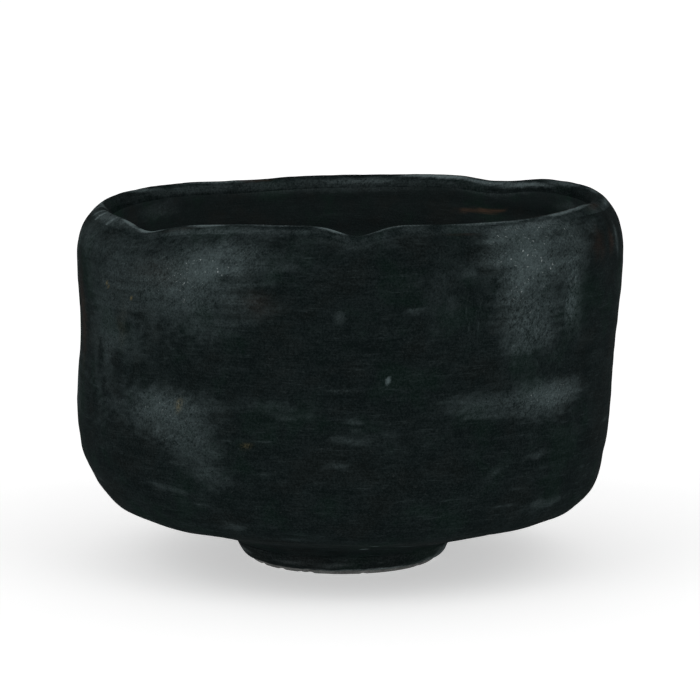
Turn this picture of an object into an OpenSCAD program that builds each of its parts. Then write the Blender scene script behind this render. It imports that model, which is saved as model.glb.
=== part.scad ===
// A black, low-fired tea bowl, pinched up by hand from one lump of clay, with a low foot ring
// and a brushed-on glaze. Millimetres, +Z up. The origin is the centre of the foot's resting face,
// and -Y is the side with the drinking notch in the rim.

/* [Bowl] */
// Radius of the wall just under the lip
wall_r = 59.2; // [54:0.2:66]
// Height of the rim above the surface that the bowl stands on
rim_h = 79.3; // [74:0.1:88]
// Height where the underside has turned up into the wall
hip_h = 22; // [20:1:26]
// How far the crest of the lip leans in from the wall
lip_lean = 5.4; // [4:0.2:7]
// Thickness of the wall, with its glaze
wall_t = 5.9; // [5:0.1:7.5]
// Height of the inside floor round the tea pool
floor_h = 14; // [13:0.5:17]
// Depth of the tea pool in the floor
pool_depth = 2; // [1:0.2:2.4]

/* [Foot] */
// Outside radius of the foot where it meets the bowl
foot_top_r = 23.4; // [22.4:0.2:27]
// Outside radius of the face that the foot rests on
foot_rest_r = 19.6; // [17.4:0.2:20]
// Radius of the well inside the foot
well_r = 14.6; // [12:0.2:15.6]
// Height of the foot
foot_h = 4.8; // [4.6:0.1:7]
// How much further the well is cut up into the floor
well_rise = 1.5; // [0.8:0.1:2]

/* [Glaze] */
// Thickness of the coats on the wall
glaze_t = 0.9; // [0.6:0.1:1.2]
// Thickness of the coat on the lip, where it runs thin
lip_glaze_t = 0.5; // [0.4:0.1:0.8]
// Thickness of the coats on the foot
foot_glaze_t = 0.7; // [0.5:0.1:0.9]
// Height at which the glaze stops above the resting face
bare_h = 1.1; // [0.8:0.1:1.6]

/* [Hand forming] */
// Half the difference between the bowl's length and its width, as a share of its radius
oval = 0.008; // [0:0.002:0.02]
// Height by which one side of the rim stands above the other, halved
rim_tilt = 1.1; // [0:0.1:2]
// Height of the three slow waves of the rim
rim_wave = 0.35; // [0:0.05:0.8]
// Distance that the rim leans to +X of the foot
rim_shift = 1.5; // [0:0.1:3]
// Distance that the hip is pushed to +X
hip_shift = 1.0; // [0:0.1:1.5]

/* [Fineness] */
// Facets round the bowl
sides = 60; // [48:12:72]

/* [Hidden] */
$fn = 96;

// Direction of the rim's high side, and of the crests of its three waves
tilt_a = 15;
wave_a = 27;

// Dips and rises of the rim: [angle, rise, spread of the angle]
rim_marks = [
    [-88.5, -2.0, 4], [-141, -1.9, 6], [50, -1.3, 7], [-112, 0.4, 11],
    [-57, -0.3, 10], [-27, 0.5, 6], [120, -0.5, 9],
];

// Hollows left by the hands: [angle, height, depth, spread of the angle, spread of the height]
presses = [
    [180, 52, 0.8, 30, 9], [-62, 47, 0.7, 19, 13], [-118, 40, 0.6, 16, 11],
    [38, 46, 0.8, 20, 12], [86, 54, 0.6, 16, 10], [132, 42, 0.8, 18, 12],
];

// Points on each span of the curved outlines, and on each span of the foot's flank
steps = 2;
flank_steps = 3;

// Where the lip's outer face ends, the tea pool, and the coats that are thicker or thinner
lip_face_h = rim_h - 1.7;
inside_r = wall_r - wall_t - 0.3;
pool_r = 20;
pool_glaze_t = 1.3;
shoulder_glaze_t = 0.8 * glaze_t;
root_glaze_t = 0.35;

// The foot: the nub in its well, the corner of glaze at its root, and the eased edges of the
// resting face
nub_r = 5;
nub_h = 1;
corner_glaze_t = 1;
edge_h = 0.3;
edge_w = 0.8;
well_flare = 0.4;

// The glazed surface as [radius, height, thickness of its coat], from the foot, up the outside,
// over the lip and down to the middle of the floor.
outer_knots = [
    [foot_top_r, foot_h, root_glaze_t],
    [0.53 * wall_r, foot_h + 3.2, glaze_t],
    [0.71 * wall_r, foot_h + 6, glaze_t],
    [0.872 * wall_r, hip_h - 7.8, glaze_t],
    [0.948 * wall_r, hip_h, glaze_t],
    [0.98 * wall_r, hip_h + 11, glaze_t],
    [0.988 * wall_r, 0.63 * rim_h, glaze_t],
    [wall_r, rim_h - 13.3, glaze_t],
    [wall_r - 0.8, rim_h - 5.9, shoulder_glaze_t],
];
lip_knots = [
    [wall_r - 0.6 * lip_lean, lip_face_h, lip_glaze_t],
    [wall_r - lip_lean, rim_h, lip_glaze_t],
    [wall_r - lip_lean - 1.6, rim_h - 0.8, lip_glaze_t],
    [wall_r - lip_lean - 2.1, rim_h - 2.8, lip_glaze_t],
];
inner_knots = [
    [inside_r - 0.9, rim_h - 6.5, shoulder_glaze_t],
    [inside_r, rim_h - 12, glaze_t],
    [inside_r, 0.63 * rim_h, glaze_t],
    [inside_r - 0.7, hip_h + 14, glaze_t],
    [inside_r - 2.4, hip_h + 5, glaze_t],
    [inside_r - 7, floor_h + 6, glaze_t],
    [0.7 * inside_r, floor_h + 1.9, glaze_t],
    [0.5 * inside_r, floor_h + 0.4, glaze_t],
    [pool_r, floor_h, glaze_t],
    [0.8 * pool_r, floor_h - 0.55 * pool_depth, pool_glaze_t],
    [0.4 * pool_r, floor_h - 0.92 * pool_depth, pool_glaze_t],
    [0, floor_h - pool_depth, pool_glaze_t],
];

function smooth(a, b, x) = let (t = min(max((x - a) / (b - a), 0), 1)) t * t * (3 - 2 * t);
function bell(x, spread) = exp(-x * x / (2 * spread * spread));
function turned_from(a, b) = (a - b + 540) % 360 - 180;
function total(list) = list * [for (x = list) 1];

// Catmull-Rom curve through the knots
function curve_point(p, i, t) =
    let (
        b = p[i],
        c = p[i + 1],
        a = i > 0 ? p[i - 1] : 2 * b - c,
        d = i + 2 < len(p) ? p[i + 2] : 2 * c - b
    )
    (2 * b + (c - a) * t + (2 * a - 5 * b + 4 * c - d) * t * t + (3 * b - a - 3 * c + d) * t * t * t) / 2;
function curve(p, n) = [
    for (i = [0:len(p) - 2]) for (k = [0:n - 1]) curve_point(p, i, k / n),
    p[len(p) - 1],
];

skin = curve(concat(outer_knots, lip_knots, inner_knots), steps);
last = len(skin) - 1;
lip_start = steps * len(outer_knots);
lip_end = steps * (len(outer_knots) + len(lip_knots) - 1);

// The clay's surface: the glazed surface less its coat, measured square to the surface
function under(k) =
    let (t = skin[k + 1] - skin[k - 1], across = [-t[1], t[0]])
    [skin[k][0], skin[k][1]] + skin[k][2] * across / norm(across);
clay = [
    [foot_top_r - corner_glaze_t, foot_h],
    for (k = [1:last - 1]) under(k),
    [0, skin[last][1] - skin[last][2]],
];

// What the hands did to the turned shape: where the point at this radius and height really lies
// in direction a. It leaves the foot and everything below mark_h as they are.
mark_h = 6.4;
function lean(z) =
    hip_shift * (smooth(mark_h, 14, z) - smooth(14, 26, z)) + rim_shift * smooth(28, 70, z);
function rise(a, z) =
    smooth(20, 78, z) * (rim_tilt * cos(a - tilt_a) + rim_wave * cos(3 * (a - wave_a)))
    + smooth(58, 78, z) * total([for (m = rim_marks) m[1] * bell(turned_from(a, m[0]), m[2])]);
function pressed(a, z) =
    total([for (m = presses) m[2] * bell(turned_from(a, m[0]), m[3]) * bell(z - m[1], m[4])]);
function formed(p, a) =
    let (
        r = p[0] * (1 + smooth(8, 30, p[1]) * oval * cos(2 * a))
            - smooth(20, 45, p[0]) * smooth(mark_h, 20, p[1]) * pressed(a, p[1])
    )
    [lean(p[1]) + r * cos(a), r * sin(a), p[1] + rise(a, p[1])];

// One row of the mesh joined to the next. The diagonal depends only on the two rows' places, so
// two solids that share a surface share its triangles.
function joined(i, j, rising) = [
    for (k = [0:sides - 1])
        let (l = (k + 1) % sides, a = i + k, b = j + k, c = j + l, d = i + l)
            each rising ? [[a, b, c], [a, c, d]] : [[a, b, d], [b, c, d]]
];
function rises(p, q) = q[1] > p[1] || (q[1] == p[1] && q[0] > p[0]);
function rings(path) = [for (p = path) for (k = [0:sides - 1]) formed(p, k * 360 / sides)];

// A solid whose outline runs from the axis, out and back to the axis
module formed_solid(path) {
    n = len(path) - 2;
    body = [for (i = [1:n]) path[i]];
    top = n * sides;
    polyhedron(
        concat(rings(body), [formed(path[n + 1], 0), formed(path[0], 0)]),
        concat(
            [for (i = [0:n - 2]) each joined(i * sides, (i + 1) * sides, rises(body[i], body[i + 1]))],
            [for (k = [0:sides - 1]) [top, (n - 1) * sides + (k + 1) % sides, (n - 1) * sides + k]],
            [for (k = [0:sides - 1]) [top + 1, k, (k + 1) % sides]]
        ),
        convexity = 8
    );
}

// A solid whose outline is a loop that doesn't meet the axis
module formed_band(path) {
    n = len(path);
    polyhedron(
        rings(path),
        [
            for (i = [0:n - 1])
                let (j = (i + 1) % n)
                    each joined(i * sides, j * sides, rises(path[i], path[j]))
        ],
        convexity = 8
    );
}

function coat(from, to) = concat(
    [for (k = [from:to]) [skin[k][0], skin[k][1]]],
    [for (k = [to:-1:from]) clay[k]]
);

// The foot's well is round, and the facets of the clay's recess touch it from outside.
recess_r = well_r / cos(180 / sides);
ceiling_h = foot_h + well_rise;

module clay_body() {
    color([0.30, 0.23, 0.19])
        formed_solid(concat(
            [
                [0, ceiling_h - nub_h],
                [nub_r / 2, ceiling_h - nub_h / 2],
                [nub_r, ceiling_h],
                [recess_r, ceiling_h],
                [recess_r, foot_h],
            ],
            clay
        ));
}

// The foot's flank as [radius, height], from the bowl down to the resting face
flank_end_r = foot_rest_r + 1.9;
flank_knots = [
    [foot_top_r, foot_h],
    [0.65 * foot_top_r + 0.35 * flank_end_r, foot_h / 2],
    [flank_end_r, bare_h],
];
flank = curve(flank_knots, flank_steps);
function flank_coat(k) = k == 0 ? corner_glaze_t : foot_glaze_t;
bare_flank = [for (k = [0:len(flank) - 1]) flank[k] - [flank_coat(k), 0]];

module foot_ring() {
    color([0.42, 0.42, 0.40])
        rotate_extrude()
            polygon(concat(
                [[well_r, foot_h]],
                bare_flank,
                [
                    [foot_rest_r + edge_w, edge_h],
                    [foot_rest_r, 0],
                    [well_r + well_flare + edge_w, 0],
                    [well_r + well_flare, edge_h],
                    [well_r, bare_h],
                ]
            ));
}

module foot_glaze() {
    color([0.07, 0.09, 0.09])
        rotate_extrude()
            polygon(concat(flank, [for (k = [len(flank) - 1:-1:0]) bare_flank[k]]));
}

module well_glaze() {
    t = foot_glaze_t;
    edge = bare_h + 0.2;
    color([0.07, 0.09, 0.09])
        rotate_extrude()
            polygon([
                [well_r, edge],
                [well_r, ceiling_h],
                [nub_r, ceiling_h],
                [nub_r / 2, ceiling_h - nub_h / 2],
                [0, ceiling_h - nub_h],
                [0, ceiling_h - nub_h - t],
                [nub_r / 2, ceiling_h - nub_h / 2 - t],
                [nub_r, ceiling_h - t],
                [well_r - 2 * t, ceiling_h - t],
                [well_r - t, ceiling_h - 2 * t],
                [well_r - t, edge],
            ]);
}

module outer_glaze() {
    color([0.08, 0.10, 0.10]) formed_band(coat(0, lip_start));
}

module lip_glaze() {
    color([0.10, 0.12, 0.12]) formed_band(coat(lip_start, lip_end));
}

module inner_glaze() {
    inner = coat(lip_end, last);
    n = len(inner) / 2;
    color([0.07, 0.09, 0.09])
        formed_solid(concat([for (k = [n:2 * n - 1]) inner[k]], [for (k = [0:n - 1]) inner[k]]));
}

clay_body();
foot_ring();
outer_glaze();
lip_glaze();
inner_glaze();
foot_glaze();
well_glaze();
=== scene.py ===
import math

import bmesh
import bpy
import numpy as np
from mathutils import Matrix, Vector, noise


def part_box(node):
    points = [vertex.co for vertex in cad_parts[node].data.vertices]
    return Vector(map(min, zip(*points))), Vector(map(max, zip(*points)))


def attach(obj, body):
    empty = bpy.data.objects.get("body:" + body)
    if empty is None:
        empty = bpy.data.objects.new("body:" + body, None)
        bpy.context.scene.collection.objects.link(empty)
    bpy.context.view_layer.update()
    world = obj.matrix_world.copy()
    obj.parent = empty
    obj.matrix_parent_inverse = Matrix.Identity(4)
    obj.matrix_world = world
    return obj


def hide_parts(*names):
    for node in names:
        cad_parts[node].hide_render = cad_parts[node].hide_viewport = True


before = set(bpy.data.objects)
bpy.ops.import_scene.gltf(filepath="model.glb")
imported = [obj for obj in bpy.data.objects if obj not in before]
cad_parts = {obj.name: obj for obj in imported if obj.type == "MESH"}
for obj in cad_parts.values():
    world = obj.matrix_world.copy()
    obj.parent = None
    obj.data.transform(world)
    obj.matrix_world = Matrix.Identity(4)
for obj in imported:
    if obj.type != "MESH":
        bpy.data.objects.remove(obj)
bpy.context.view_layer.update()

# A black, low-fired tea bowl, pinched up by hand. Each coat of glaze, the clay under it and the foot
# ring is a finer piece that stands for its CAD node: the same turned outline and hand-forming, with
# brush ridges, tool marks, pits and uneven glaze edges in its mesh. Lengths here are millimetres.

MM = 0.001
BODY = "root"


def box_mm(node):
    """Lowest and highest corner of a CAD node."""
    return [np.array(corner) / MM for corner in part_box(node)]


# ---------------------------------------------------------------- dimensions, from the frame

# How far the hands took the turned shape out of round and out of level
OVAL = 0.008
RIM_TILT, TILT_ANGLE = 1.1, 15
RIM_WAVE, WAVE_ANGLE = 0.35, 27
RIM_SHIFT, HIP_SHIFT = 1.5, 1.0

# Thickness of the coats: on the wall, the lip, the pool and the foot, and where they thin or thicken
GLAZE_T, LIP_T, POOL_T, FOOT_T = 0.9, 0.5, 1.3, 0.7
SHOULDER_T, ROOT_T, CORNER_T = 0.72, 0.35, 1.0

outer_low, outer_high = box_mm("outer_glaze")
flank_low, flank_high = box_mm("foot_glaze")
lip_high = box_mm("lip_glaze")[1]
inner_low = box_mm("inner_glaze")[0]
ring_high = box_mm("foot_ring")[1]
well_high = box_mm("well_glaze")[1]

# How far the hollows pull in the bowl's widest place
PRESSED_IN = 0.2
wall_r = (outer_high[1] - outer_low[1]) / 2 / (1 - OVAL) + PRESSED_IN
rim_h = lip_high[2] - RIM_TILT - RIM_WAVE
foot_top_r = flank_high[0]
foot_h = ring_high[2]
bare_h = flank_low[2]
well_r = well_high[0]
ceiling_h = well_high[2]

# What the boxes don't give: shares of those sizes, and the pool and the nub
hip_h = 0.277 * rim_h
lip_lean = 0.091 * wall_r
wall_t = 0.1 * wall_r
inside_r = wall_r - wall_t - 0.3
foot_rest_r = 0.838 * foot_top_r
pool_r, pool_depth = 0.338 * wall_r, 2
floor_h = inner_low[2] + POOL_T + pool_depth
nub_r, nub_h = 5, 1

# ---------------------------------------------------------------- the turned outline

# Points on each span of a curve
SPAN = 40
# The glazed surface as (radius, height, thickness of its coat), from the foot's root, up the
# outside, over the lip and down to the middle of the floor.
OUTER_KNOTS = [
    (foot_top_r, foot_h, ROOT_T),
    (0.53 * wall_r, foot_h + 3.2, GLAZE_T),
    (0.71 * wall_r, foot_h + 6, GLAZE_T),
    (0.872 * wall_r, hip_h - 7.8, GLAZE_T),
    (0.948 * wall_r, hip_h, GLAZE_T),
    (0.98 * wall_r, hip_h + 11, GLAZE_T),
    (0.988 * wall_r, 0.63 * rim_h, GLAZE_T),
    (wall_r, rim_h - 13.3, GLAZE_T),
    (wall_r - 0.8, rim_h - 5.9, SHOULDER_T),
]
LIP_KNOTS = [
    (wall_r - 0.6 * lip_lean, rim_h - 1.7, LIP_T),
    (wall_r - lip_lean, rim_h, LIP_T),
    (wall_r - lip_lean - 1.6, rim_h - 0.8, LIP_T),
    (wall_r - lip_lean - 2.1, rim_h - 2.8, LIP_T),
]
INNER_KNOTS = [
    (inside_r - 0.9, rim_h - 6.5, SHOULDER_T),
    (inside_r, rim_h - 12, GLAZE_T),
    (inside_r, 0.63 * rim_h, GLAZE_T),
    (inside_r - 0.7, hip_h + 14, GLAZE_T),
    (inside_r - 2.4, hip_h + 5, GLAZE_T),
    (inside_r - 7, floor_h + 6, GLAZE_T),
    (0.7 * inside_r, floor_h + 1.9, GLAZE_T),
    (0.5 * inside_r, floor_h + 0.4, GLAZE_T),
    (pool_r, floor_h, GLAZE_T),
    (0.8 * pool_r, floor_h - 0.55 * pool_depth, POOL_T),
    (0.4 * pool_r, floor_h - 0.92 * pool_depth, POOL_T),
    (0, floor_h - pool_depth, POOL_T),
]


def curve(knots):
    """Points along a Catmull-Rom curve through the knots, SPAN of them from each knot to the next."""
    knots = np.array(knots, float)
    knots = np.vstack([2 * knots[0] - knots[1], knots, 2 * knots[-1] - knots[-2]])
    t = (np.arange(SPAN) / SPAN)[:, None]
    spans = [
        (2 * b + (c - a) * t + (2 * a - 5 * b + 4 * c - d) * t**2 + (3 * b - a - 3 * c + d) * t**3) / 2
        for a, b, c, d in zip(knots, knots[1:], knots[2:], knots[3:])
    ]
    return np.vstack([*spans, knots[-2:-1]])


def arc_lengths(path):
    """Distance along the path to each of its points."""
    steps = np.linalg.norm(np.diff(path[:, :2], axis=0), axis=1)
    return np.concatenate([[0], np.cumsum(steps)])


def at(path, distances):
    """The path's values at these distances along it."""
    along = arc_lengths(path)
    return np.stack([np.interp(distances, along, column) for column in path.T], axis=-1)


def smooth(a, b, x):
    """From 0 at a to 1 at b, with an eased start and end."""
    t = np.clip((x - a) / (b - a), 0, 1)
    return t * t * (3 - 2 * t)


def bell(x, spread):
    """A rounded peak, 1 at 0 and 0.6 at the spread."""
    return np.exp(-x * x / (2 * spread * spread))


def turned_from(a, b):
    """The angle from b to a, between -180 and 180 degrees."""
    return (a - b + 540) % 360 - 180


skin_path = curve([*OUTER_KNOTS, *LIP_KNOTS, *INNER_KNOTS])
skin_arc = arc_lengths(skin_path)
crest = SPAN * (len(OUTER_KNOTS) + 1)
lip_start = skin_arc[SPAN * len(OUTER_KNOTS)]
lip_end = skin_arc[SPAN * (len(OUTER_KNOTS) + len(LIP_KNOTS) - 1)]
skin_end = skin_arc[-1]


def outside_place(height):
    """Distance along the outline to this height on the outside."""
    return np.interp(height, skin_path[:crest, 1], skin_arc[:crest])


def inside_place(height):
    """Distance along the outline to this height on the inside."""
    return np.interp(height, skin_path[:crest:-1, 1], skin_arc[:crest:-1])


def lip_place(past_crest):
    """Distance along the outline to this far past the lip's crest."""
    return skin_arc[crest] + past_crest


# ---------------------------------------------------------------- the hand-forming

# Dips and rises of the rim: (angle, rise, spread of the angle)
RIM_MARKS = [
    (-88.5, -2.0, 4), (-141, -1.9, 6), (50, -1.3, 7), (-112, 0.4, 11),
    (-57, -0.3, 10), (-27, 0.5, 6), (120, -0.5, 9),
]
# Hollows left by the hands: (angle, height, depth, spread of the angle, spread of the height)
PRESSES = [
    (180, 52, 0.8, 30, 9), (-62, 47, 0.7, 19, 13), (-118, 40, 0.6, 16, 11),
    (38, 46, 0.8, 20, 12), (86, 54, 0.6, 16, 10), (132, 42, 0.8, 18, 12),
]
# Heights between which each part of the forming sets in, and the radii for the hollows
OVAL_FROM_TO = 8, 30
PRESS_FROM_TO, PRESS_RADII = (6.4, 20), (20, 45)
HIP_FROM_TO, HIP_FADES = (6.4, 14), (14, 26)
SHIFT_FROM_TO = 28, 70
WAVES_FROM_TO, MARKS_FROM_TO = (20, 78), (58, 78)


def formed(path, segments):
    """Where the hands left the turned path, as rows of points round the bowl."""
    angle = (np.arange(segments) * 360 / segments)[None, :]
    turn = np.radians(angle)
    radius, height = path[:, 0:1], path[:, 1:2]
    pressed = sum(
        depth * bell(turned_from(angle, a), wide) * bell(height - z, tall)
        for a, z, depth, wide, tall in PRESSES
    )
    r = radius * (1 + smooth(*OVAL_FROM_TO, height) * OVAL * np.cos(2 * turn))
    r = r - smooth(*PRESS_RADII, radius) * smooth(*PRESS_FROM_TO, height) * pressed
    lean = HIP_SHIFT * (smooth(*HIP_FROM_TO, height) - smooth(*HIP_FADES, height))
    lean = lean + RIM_SHIFT * smooth(*SHIFT_FROM_TO, height)
    slow = RIM_TILT * np.cos(turn - math.radians(TILT_ANGLE))
    slow = slow + RIM_WAVE * np.cos(3 * (turn - math.radians(WAVE_ANGLE)))
    quick = sum(rise * bell(turned_from(angle, a), wide) for a, rise, wide in RIM_MARKS)
    z = height + smooth(*WAVES_FROM_TO, height) * slow + smooth(*MARKS_FROM_TO, height) * quick
    return np.stack([lean + r * np.cos(turn), r * np.sin(turn), z], axis=-1)


# The least length that a normal is divided by, and how far apart seeds lie in the noise
TINY, SEED_STEP = 1e-9, 7.31


def normals(grid):
    """Unit normals of rows of points, out of the piece where the rows run up its outside."""
    down = np.gradient(grid, axis=0)
    across = np.roll(grid, -1, axis=1) - np.roll(grid, 1, axis=1)
    n = np.cross(across, down)
    return n / np.maximum(np.linalg.norm(n, axis=-1, keepdims=True), TINY)


def field(grid, size, seed):
    """Smooth noise, from -1 to 1, over rows of points; size is how far apart its lumps are."""
    scaled = grid / np.array(size, float) + seed * SEED_STEP
    values = [noise.noise(Vector(p)) for p in scaled.reshape(-1, 3)]
    return np.array(values).reshape(grid.shape[:-1])


def lumps(grid, kind, seed):
    """Lumps of one kind, which is how far they stand out and their size."""
    height, size = kind
    return height * field(grid, size, seed)


# How much a step outwards counts as a step up, so that brush strokes go round the underside too
OUT_AS_UP = 0.8


def brushed(grid):
    """Coordinates that run round the bowl in x and y, and up or out from the foot in z."""
    r = np.hypot(grid[..., 0], grid[..., 1])
    return np.stack([grid[..., 0], grid[..., 1], grid[..., 2] + OUT_AS_UP * r], axis=-1)


# ---------------------------------------------------------------- brushwork

# The bloom, the burns and the flecks are brush marks, laid one over another; the pale marks on the front
# shoulders and along the lip's crest are painted highlights as well as bloom. Each is (angle, place,
# half length, half width, tilt, strength, softness). The place is a height on the wall, or how far
# past the crest on the lip. A strength below 0 lays black glaze over what is there.


def cluster(angle, height, size, seed):
    """A cloudy patch: a wide thin wash, brighter cores, and black strokes cutting in from one side."""
    draw = np.random.default_rng(seed).uniform
    side = -1 if seed % 2 else 1
    return [
        (angle, height, 36 * size, 18 * size, draw(-8, 8), 0.20, 1.0),
        (angle + draw(-6, 6), height + draw(-2, 5), 19 * size, 9 * size, draw(-15, 15), 0.26, 1.0),
        (angle + draw(-8, 8), height + draw(-4, 4), 9 * size, 4 * size, draw(-20, 20), 0.26, 1.0),
        (angle - 12 * side, height - draw(2, 9), draw(8, 14) * size, 7 * size, 90, 0.16, 1.0),
        (angle + 14 * side, height + draw(0, 4), 9 * size, 1.8, draw(-4, 4), -0.4, 0.8),
        (angle + 16 * side, height - draw(3, 7), 12 * size, 3.0, draw(-4, 4), -0.5, 0.9),
    ]


def dashes(count, angles, heights, seed):
    """Short dry touches of the brush."""
    draw = np.random.default_rng(seed).uniform
    return [
        (draw(*angles), draw(*heights), draw(2, 8), draw(0.3, 0.9), draw(-4, 4), draw(0.06, 0.2), 0.9)
        for _ in range(count)
    ]


BLOOM_AND_HIGHLIGHTS = [
    # Front, upper left: bloom, with a painted highlight where the shoulder turns up
    (-127, 66, 32, 18, 0, 0.22, 1.0), (-122, 69, 17, 9, 8, 0.22, 1.0),
    (-118, 71.5, 13, 6, 12, 0.40, 1.0), (-114, 72, 6, 3, 0, 0.3, 1.0),
    (-150, 58, 15, 34, 0, 0.15, 1.0), (-108, 73, 22, 7, 0, 0.14, 1.0),
    (-115, 78.5, 44, 4, 0, 0.16, 1.0), (-142, 74, 17, 12, 0, 0.13, 1.0),
    (-109, 63.5, 10, 6, 0, 0.08, 1.0), (-145, 52.5, 24, 6, 0, 0.10, 1.0),
    (-113.5, 72.2, 3.2, 1.2, 0, -0.5, 0.6), (-113.5, 68.8, 4, 1.1, 2, -0.6, 0.6),
    (-105.5, 70.5, 7, 1.5, 2, -0.25, 0.8), (-101.5, 67, 9, 2, 0, -0.2, 0.8),
    (-112, 61, 6, 1.6, 0, -0.25, 0.8), (-105, 55, 12, 6, 0, -0.6, 0.9),
    (-116, 53, 8, 1.6, -3, -0.35, 0.6),
    # Front, lower left
    (-130, 39.5, 22, 9, 0, 0.29, 1.0), (-130, 41.5, 13, 5, 0, 0.20, 1.0),
    (-122, 33, 14, 9, -20, 0.22, 1.0), (-117, 27, 9, 4, 0, 0.08, 1.0),
    (-131, 23.5, 12, 1.6, -6, 0.18, 1.0), (-124, 21, 9, 1.2, -4, 0.13, 1.0),
    (-108, 34.5, 11, 1.6, 0, -0.6, 0.5), (-107, 30.8, 12, 1.2, 2, -0.6, 0.5),
    (-104, 26.8, 12, 2.0, 0, -0.5, 0.6), (-142, 20, 15, 4, 0, -0.4, 1.0),
    (-153, 49, 2.6, 5, 0, -0.85, 0.7), (-145, 49.5, 3.4, 5, 0, -0.8, 0.7),
    (-106.5, 28.5, 2.2, 0.7, 0, 0.2, 0.9), (-115, 16.5, 6, 2.0, 0, 0.17, 1.0),
    (-102, 14, 5, 1.5, 0, 0.13, 1.0),
    # Front, middle
    (-80, 77, 24, 5, 0, 0.10, 1.0), (-90.5, 61.5, 2, 2.2, 0, 0.20, 0.9),
    (-70, 66, 14, 8, 90, 0.09, 1.0), (-76, 62.5, 3.4, 1.0, 3, 0.20, 0.9),
    (-64, 69.5, 4, 2.2, -14, 0.18, 1.0), (-92, 31, 5, 1.2, 0, 0.12, 1.0),
    (-88, 40, 3.4, 0.8, 0, 0.22, 0.8), (-60, 40, 6, 0.5, 0, 0.3, 0.7), (-80, 36, 20, 5, 0, 0.04, 1.0),
    (-57, 27.5, 4, 2.4, 0, 0.12, 1.0), (-104, 43, 16, 3, 2, 0.10, 1.0),
    # The first mark on the next line is a painted glint in a pinhole.
    (-80.8, 48, 1.2, 0.3, 90, 0.9, 0.6), (-82, 12, 1.3, 1.6, 0, 0.5, 0.8),
    (-82, 8, 1.4, 1.6, 0, 0.8, 0.7), (-68, 9, 5, 3, 0, 0.25, 1.0), (-56, 9.5, 3.6, 3, 24, 0.8, 0.9),
    # Front, upper right: bloom, with a painted highlight where the shoulder turns up
    (-49, 77.5, 13, 3, 0, 0.45, 0.8), (-57, 76, 4, 2.6, 0, 0.3, 0.9), (-50, 73, 17, 10, 0, 0.50, 0.9),
    (-51, 72, 8, 7, 0, 0.22, 1.0), (-48, 62, 15, 13, 0, 0.26, 1.0), (-36, 72, 9, 9, 0, 0.24, 1.0),
    (-49, 54, 12, 6, 0, 0.12, 0.9), (-36, 60, 12, 5, 90, 0.14, 1.0), (-54, 61, 16, 8, 90, 0.10, 0.9),
    (-46, 52, 16, 10, 90, 0.05, 1.0), (-38, 65, 13, 4, 90, 0.26, 1.0),
    (-63.5, 61, 11, 3.2, 90, -0.75, 0.5), (-58, 66.5, 6, 1.4, 0, -0.35, 0.7),
    (-47, 51.3, 10, 1.4, 0, -0.4, 0.7), (-15, 72, 5, 2, 90, 0.3, 0.9), (-37, 77, 8, 3, 0, 0.28, 1.0),
    (-28, 76, 7, 3.4, 0, 0.2, 1.0),
    # Front, lower right
    (-46, 42, 19, 6.5, 0, 0.34, 1.0), (-40, 42.5, 13, 4, 0, 0.25, 1.0),
    (-63, 42.5, 13, 4, 0, 0.19, 1.0), (-34, 34, 8, 3, 90, 0.06, 1.0), (-46, 30, 7, 1.3, 4, 0.16, 0.9),
    (-41, 18.8, 13, 2.4, 6, 0.17, 1.0),
    # Left corner
    (-162, 75, 14, 7, 0, 0.22, 1.0), (-172, 70, 5, 10, 0, 0.2, 1.0),
    # The sides and the back
    *cluster(8, 65, 0.85, 11), *cluster(24, 38, 0.7, 12), *cluster(52, 67, 0.9, 13),
    *cluster(86, 42, 0.9, 14), *cluster(104, 68, 0.8, 15), *cluster(142, 64, 1.0, 16),
    *cluster(136, 32, 0.7, 17), *cluster(178, 40, 0.8, 18), (68, 27, 12, 1.4, 4, 0.2, 0.9),
    (30, 56, 3, 1.2, 0, 0.25, 0.9), (120, 52, 3.4, 1.0, 0, 0.3, 0.8),
    *dashes(60, (-15, 200), (12, 74), 3), *dashes(14, (-150, -30), (14, 48), 4),
]
BURNS = [
    (-106.5, 64, 5, 4, 0, 0.2, 1.0), (-166, 56, 5, 16, 0, 0.4, 1.0), (-20, 72, 3, 4, 0, 0.45, 1.0),
    (-27, 72, 5, 5, 0, 0.3, 1.0), (-64, 77.6, 6, 1.0, 0, 0.3, 1.0), (-130, 70, 12, 5, 0, 0.12, 1.0),
    (14, 70, 9, 4, 0, 0.5, 1.0), (62, 74, 14, 2, 0, 0.5, 0.9), (126, 56, 8, 6, 0, 0.35, 1.0),
    (170, 50, 6, 12, 0, 0.35, 1.0),
]
OCHRE = [
    (-148, 66, 0.3, 1.4, 30, 0.7, 0.6), (-139, 64, 0.8, 0.4, 0, 0.6, 0.6),
    (-143, 58, 3, 7, 0, 0.05, 1.0), (-126, 42, 1.2, 2.4, -20, 0.45, 1.0),
    (-110, 34.5, 2.0, 0.8, 0, 0.3, 1.0), (20, 52, 0.8, 1.4, 20, 0.6, 0.8),
    (112, 58, 1.8, 1.0, 0, 0.5, 0.8), (166, 44, 0.7, 1.9, 0, 0.6, 0.8),
]
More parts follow.
